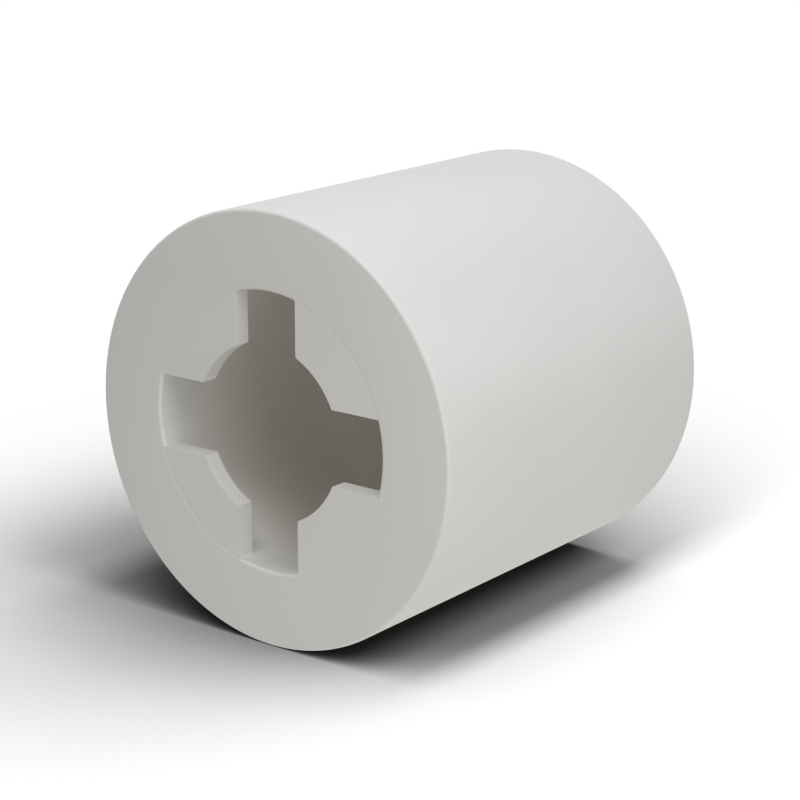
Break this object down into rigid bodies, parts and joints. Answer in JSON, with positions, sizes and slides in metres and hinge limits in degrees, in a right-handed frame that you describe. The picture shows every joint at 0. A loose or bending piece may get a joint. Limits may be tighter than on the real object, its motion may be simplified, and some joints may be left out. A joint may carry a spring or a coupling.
{
  "type": "self-retaining spacer",
  "caption": "Short round plastic spacer tube with thin slotted tabs across one end that grip a screw pushed through it.",
  "frame": {"origin": "centre of the plain end's face, on the bore axis", "axes": "+Z along the bore axis towards the tabs; the slots between the tabs run along X and Y"},
  "size_m": [0.007, 0.007, 0.007],
  "materials": {
    "nylon": "natural polyamide 6.6, fine satin as moulded"
  },
  "bodies": {
    "root": {"spacer": "nylon"}
  },
  "joints": []
}
